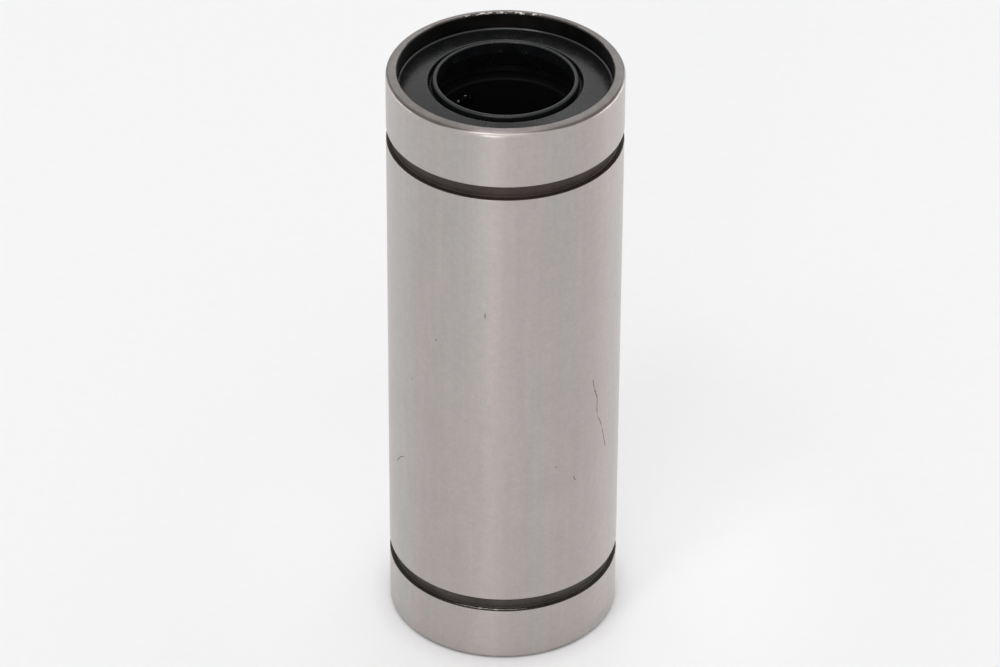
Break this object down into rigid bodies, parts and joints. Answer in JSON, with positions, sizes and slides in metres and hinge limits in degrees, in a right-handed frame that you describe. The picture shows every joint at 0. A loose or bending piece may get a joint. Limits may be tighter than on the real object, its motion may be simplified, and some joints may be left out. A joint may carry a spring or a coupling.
{
  "type": "linear ball bearing",
  "caption": "Long sealed linear ball bearing: a ground steel sleeve with circlip grooves, rubber end seals and recirculating ball circuits round a shaft bore.",
  "frame": {"origin": "middle of the lower end face", "axes": "+Z along the shaft axis, from the lower end to the upper end"},
  "size_m": [0.021, 0.021, 0.057],
  "materials": {
    "cylinder_steel": "satin ground",
    "ball_steel": "polished",
    "ring_steel": "blued spring steel",
    "retainer_resin": "moulded",
    "seal_rubber": "matt moulded"
  },
  "bodies": {
    "housing": {"outer_cylinder": "cylinder_steel", "lower_retainer": "retainer_resin", "lower_retaining_ring": "ring_steel", "lower_seal": "seal_rubber", "upper_retainer": "retainer_resin", "upper_retaining_ring": "ring_steel", "upper_seal": "seal_rubber"},
    "lower_circuit_1_load_row": {"lower_circuit_1_load_row": "ball_steel"},
    "lower_circuit_1_return_row": {"lower_circuit_1_return_row": "ball_steel"},
    "lower_circuit_1_top_turn": {"lower_circuit_1_top_turn": "ball_steel"},
    "lower_circuit_1_bottom_turn": {"lower_circuit_1_bottom_turn": "ball_steel"},
    "lower_circuit_2_load_row": {"lower_circuit_2_load_row": "ball_steel"},
    "lower_circuit_2_return_row": {"lower_circuit_2_return_row": "ball_steel"},
    "lower_circuit_2_top_turn": {"lower_circuit_2_top_turn": "ball_steel"},
    "lower_circuit_2_bottom_turn": {"lower_circuit_2_bottom_turn": "ball_steel"},
    "lower_circuit_3_load_row": {"lower_circuit_3_load_row": "ball_steel"},
    "lower_circuit_3_return_row": {"lower_circuit_3_return_row": "ball_steel"},
    "lower_circuit_3_top_turn": {"lower_circuit_3_top_turn": "ball_steel"},
    "lower_circuit_3_bottom_turn": {"lower_circuit_3_bottom_turn": "ball_steel"},
    "lower_circuit_4_load_row": {"lower_circuit_4_load_row": "ball_steel"},
    "lower_circuit_4_return_row": {"lower_circuit_4_return_row": "ball_steel"},
    "lower_circuit_4_top_turn": {"lower_circuit_4_top_turn": "ball_steel"},
    "lower_circuit_4_bottom_turn": {"lower_circuit_4_bottom_turn": "ball_steel"},
    "upper_circuit_1_load_row": {"upper_circuit_1_load_row": "ball_steel"},
    "upper_circuit_1_return_row": {"upper_circuit_1_return_row": "ball_steel"},
    "upper_circuit_1_top_turn": {"upper_circuit_1_top_turn": "ball_steel"},
    "upper_circuit_1_bottom_turn": {"upper_circuit_1_bottom_turn": "ball_steel"},
    "upper_circuit_2_load_row": {"upper_circuit_2_load_row": "ball_steel"},
    "upper_circuit_2_return_row": {"upper_circuit_2_return_row": "ball_steel"},
    "upper_circuit_2_top_turn": {"upper_circuit_2_top_turn": "ball_steel"},
    "upper_circuit_2_bottom_turn": {"upper_circuit_2_bottom_turn": "ball_steel"},
    "upper_circuit_3_load_row": {"upper_circuit_3_load_row": "ball_steel"},
    "upper_circuit_3_return_row": {"upper_circuit_3_return_row": "ball_steel"},
    "upper_circuit_3_top_turn": {"upper_circuit_3_top_turn": "ball_steel"},
    "upper_circuit_3_bottom_turn": {"upper_circuit_3_bottom_turn": "ball_steel"},
    "upper_circuit_4_load_row": {"upper_circuit_4_load_row": "ball_steel"},
    "upper_circuit_4_return_row": {"upper_circuit_4_return_row": "ball_steel"},
    "upper_circuit_4_top_turn": {"upper_circuit_4_top_turn": "ball_steel"},
    "upper_circuit_4_bottom_turn": {"upper_circuit_4_bottom_turn": "ball_steel"}
  },
  "joints": [
    {"name": "lower_circuit_1_load_run", "type": "slide", "parent": "housing", "child": "lower_circuit_1_load_row", "axis": [0, 0, 1], "range_m": [-0.00102, 0.00102]},
    {"name": "lower_circuit_1_return_run", "type": "slide", "parent": "housing", "child": "lower_circuit_1_return_row", "axis": [0, 0, 1], "range_m": [-0.00102, 0.00102]},
    {"name": "lower_circuit_1_top_turn_run", "type": "hinge", "parent": "housing", "child": "lower_circuit_1_top_turn", "pos_m": [-0.00382, 0.00605, 0.02476], "axis": [-0.7071, 0.7071, 0], "range_deg": [-30, 30]},
    {"name": "lower_circuit_1_bottom_turn_run", "type": "hinge", "parent": "housing", "child": "lower_circuit_1_bottom_turn", "pos_m": [-0.00382, 0.00605, 0.0084], "axis": [-0.7071, 0.7071, 0], "range_deg": [-30, 30]},
    {"name": "lower_circuit_2_load_run", "type": "slide", "parent": "housing", "child": "lower_circuit_2_load_row", "axis": [0, 0, 1], "range_m": [-0.00102, 0.00102]},
    {"name": "lower_circuit_2_return_run", "type": "slide", "parent": "housing", "child": "lower_circuit_2_return_row", "axis": [0, 0, 1], "range_m": [-0.00102, 0.00102]},
    {"name": "lower_circuit_2_top_turn_run", "type": "hinge", "parent": "housing", "child": "lower_circuit_2_top_turn", "pos_m": [-0.00605, -0.00382, 0.02476], "axis": [-0.7071, -0.7071, 0], "range_deg": [-30, 30]},
    {"name": "lower_circuit_2_bottom_turn_run", "type": "hinge", "parent": "housing", "child": "lower_circuit_2_bottom_turn", "pos_m": [-0.00605, -0.00382, 0.0084], "axis": [-0.7071, -0.7071, 0], "range_deg": [-30, 30]},
    {"name": "lower_circuit_3_load_run", "type": "slide", "parent": "housing", "child": "lower_circuit_3_load_row", "axis": [0, 0, 1], "range_m": [-0.00102, 0.00102]},
    {"name": "lower_circuit_3_return_run", "type": "slide", "parent": "housing", "child": "lower_circuit_3_return_row", "axis": [0, 0, 1], "range_m": [-0.00102, 0.00102]},
    {"name": "lower_circuit_3_top_turn_run", "type": "hinge", "parent": "housing", "child": "lower_circuit_3_top_turn", "pos_m": [0.00382, -0.00605, 0.02476], "axis": [0.7071, -0.7071, 0], "range_deg": [-30, 30]},
    {"name": "lower_circuit_3_bottom_turn_run", "type": "hinge", "parent": "housing", "child": "lower_circuit_3_bottom_turn", "pos_m": [0.00382, -0.00605, 0.0084], "axis": [0.7071, -0.7071, 0], "range_deg": [-30, 30]},
    {"name": "lower_circuit_4_load_run", "type": "slide", "parent": "housing", "child": "lower_circuit_4_load_row", "axis": [0, 0, 1], "range_m": [-0.00102, 0.00102]},
    {"name": "lower_circuit_4_return_run", "type": "slide", "parent": "housing", "child": "lower_circuit_4_return_row", "axis": [0, 0, 1], "range_m": [-0.00102, 0.00102]},
    {"name": "lower_circuit_4_top_turn_run", "type": "hinge", "parent": "housing", "child": "lower_circuit_4_top_turn", "pos_m": [0.00605, 0.00382, 0.02476], "axis": [0.7071, 0.7071, 0], "range_deg": [-30, 30]},
    {"name": "lower_circuit_4_bottom_turn_run", "type": "hinge", "parent": "housing", "child": "lower_circuit_4_bottom_turn", "pos_m": [0.00605, 0.00382, 0.0084], "axis": [0.7071, 0.7071, 0], "range_deg": [-30, 30]},
    {"name": "upper_circuit_1_load_run", "type": "slide", "parent": "housing", "child": "upper_circuit_1_load_row", "axis": [0, 0, 1], "range_m": [-0.00102, 0.00102]},
    {"name": "upper_circuit_1_return_run", "type": "slide", "parent": "housing", "child": "upper_circuit_1_return_row", "axis": [0, 0, 1], "range_m": [-0.00102, 0.00102]},
    {"name": "upper_circuit_1_top_turn_run", "type": "hinge", "parent": "housing", "child": "upper_circuit_1_top_turn", "pos_m": [-0.00382, 0.00605, 0.0486], "axis": [-0.7071, 0.7071, 0], "range_deg": [-30, 30]},
    {"name": "upper_circuit_1_bottom_turn_run", "type": "hinge", "parent": "housing", "child": "upper_circuit_1_bottom_turn", "pos_m": [-0.00382, 0.00605, 0.03224], "axis": [-0.7071, 0.7071, 0], "range_deg": [-30, 30]},
    {"name": "upper_circuit_2_load_run", "type": "slide", "parent": "housing", "child": "upper_circuit_2_load_row", "axis": [0, 0, 1], "range_m": [-0.00102, 0.00102]},
    {"name": "upper_circuit_2_return_run", "type": "slide", "parent": "housing", "child": "upper_circuit_2_return_row", "axis": [0, 0, 1], "range_m": [-0.00102, 0.00102]},
    {"name": "upper_circuit_2_top_turn_run", "type": "hinge", "parent": "housing", "child": "upper_circuit_2_top_turn", "pos_m": [-0.00605, -0.00382, 0.0486], "axis": [-0.7071, -0.7071, 0], "range_deg": [-30, 30]},
    {"name": "upper_circuit_2_bottom_turn_run", "type": "hinge", "parent": "housing", "child": "upper_circuit_2_bottom_turn", "pos_m": [-0.00605, -0.00382, 0.03224], "axis": [-0.7071, -0.7071, 0], "range_deg": [-30, 30]},
    {"name": "upper_circuit_3_load_run", "type": "slide", "parent": "housing", "child": "upper_circuit_3_load_row", "axis": [0, 0, 1], "range_m": [-0.00102, 0.00102]},
    {"name": "upper_circuit_3_return_run", "type": "slide", "parent": "housing", "child": "upper_circuit_3_return_row", "axis": [0, 0, 1], "range_m": [-0.00102, 0.00102]},
    {"name": "upper_circuit_3_top_turn_run", "type": "hinge", "parent": "housing", "child": "upper_circuit_3_top_turn", "pos_m": [0.00382, -0.00605, 0.0486], "axis": [0.7071, -0.7071, 0], "range_deg": [-30, 30]},
    {"name": "upper_circuit_3_bottom_turn_run", "type": "hinge", "parent": "housing", "child": "upper_circuit_3_bottom_turn", "pos_m": [0.00382, -0.00605, 0.03224], "axis": [0.7071, -0.7071, 0], "range_deg": [-30, 30]},
    {"name": "upper_circuit_4_load_run", "type": "slide", "parent": "housing", "child": "upper_circuit_4_load_row", "axis": [0, 0, 1], "range_m": [-0.00102, 0.00102]},
    {"name": "upper_circuit_4_return_run", "type": "slide", "parent": "housing", "child": "upper_circuit_4_return_row", "axis": [0, 0, 1], "range_m": [-0.00102, 0.00102]},
    {"name": "upper_circuit_4_top_turn_run", "type": "hinge", "parent": "housing", "child": "upper_circuit_4_top_turn", "pos_m": [0.00605, 0.00382, 0.0486], "axis": [0.7071, 0.7071, 0], "range_deg": [-30, 30]},
    {"name": "upper_circuit_4_bottom_turn_run", "type": "hinge", "parent": "housing", "child": "upper_circuit_4_bottom_turn", "pos_m": [0.00605, 0.00382, 0.03224], "axis": [0.7071, 0.7071, 0], "range_deg": [-30, 30]}
  ],
  "couplings": [
    {"joint": "lower_circuit_1_return_run", "follows": "lower_circuit_1_load_run", "ratio": -1},
    {"joint": "lower_circuit_1_top_turn_run", "follows": "lower_circuit_1_load_run", "rad_per_m": 512.2},
    {"joint": "lower_circuit_1_bottom_turn_run", "follows": "lower_circuit_1_load_run", "rad_per_m": 512.2},
    {"joint": "lower_circuit_2_return_run", "follows": "lower_circuit_2_load_run", "ratio": -1},
    {"joint": "lower_circuit_2_top_turn_run", "follows": "lower_circuit_2_load_run", "rad_per_m": 512.2},
    {"joint": "lower_circuit_2_bottom_turn_run", "follows": "lower_circuit_2_load_run", "rad_per_m": 512.2},
    {"joint": "lower_circuit_3_return_run", "follows": "lower_circuit_3_load_run", "ratio": -1},
    {"joint": "lower_circuit_3_top_turn_run", "follows": "lower_circuit_3_load_run", "rad_per_m": 512.2},
    {"joint": "lower_circuit_3_bottom_turn_run", "follows": "lower_circuit_3_load_run", "rad_per_m": 512.2},
    {"joint": "lower_circuit_4_return_run", "follows": "lower_circuit_4_load_run", "ratio": -1},
    {"joint": "lower_circuit_4_top_turn_run", "follows": "lower_circuit_4_load_run", "rad_per_m": 512.2},
    {"joint": "lower_circuit_4_bottom_turn_run", "follows": "lower_circuit_4_load_run", "rad_per_m": 512.2},
    {"joint": "upper_circuit_1_return_run", "follows": "upper_circuit_1_load_run", "ratio": -1},
    {"joint": "upper_circuit_1_top_turn_run", "follows": "upper_circuit_1_load_run", "rad_per_m": 512.2},
    {"joint": "upper_circuit_1_bottom_turn_run", "follows": "upper_circuit_1_load_run", "rad_per_m": 512.2},
    {"joint": "upper_circuit_2_return_run", "follows": "upper_circuit_2_load_run", "ratio": -1},
    {"joint": "upper_circuit_2_top_turn_run", "follows": "upper_circuit_2_load_run", "rad_per_m": 512.2},
    {"joint": "upper_circuit_2_bottom_turn_run", "follows": "upper_circuit_2_load_run", "rad_per_m": 512.2},
    {"joint": "upper_circuit_3_return_run", "follows": "upper_circuit_3_load_run", "ratio": -1},
    {"joint": "upper_circuit_3_top_turn_run", "follows": "upper_circuit_3_load_run", "rad_per_m": 512.2},
    {"joint": "upper_circuit_3_bottom_turn_run", "follows": "upper_circuit_3_load_run", "rad_per_m": 512.2},
    {"joint": "upper_circuit_4_return_run", "follows": "upper_circuit_4_load_run", "ratio": -1},
    {"joint": "upper_circuit_4_top_turn_run", "follows": "upper_circuit_4_load_run", "rad_per_m": 512.2},
    {"joint": "upper_circuit_4_bottom_turn_run", "follows": "upper_circuit_4_load_run", "rad_per_m": 512.2}
  ]
}
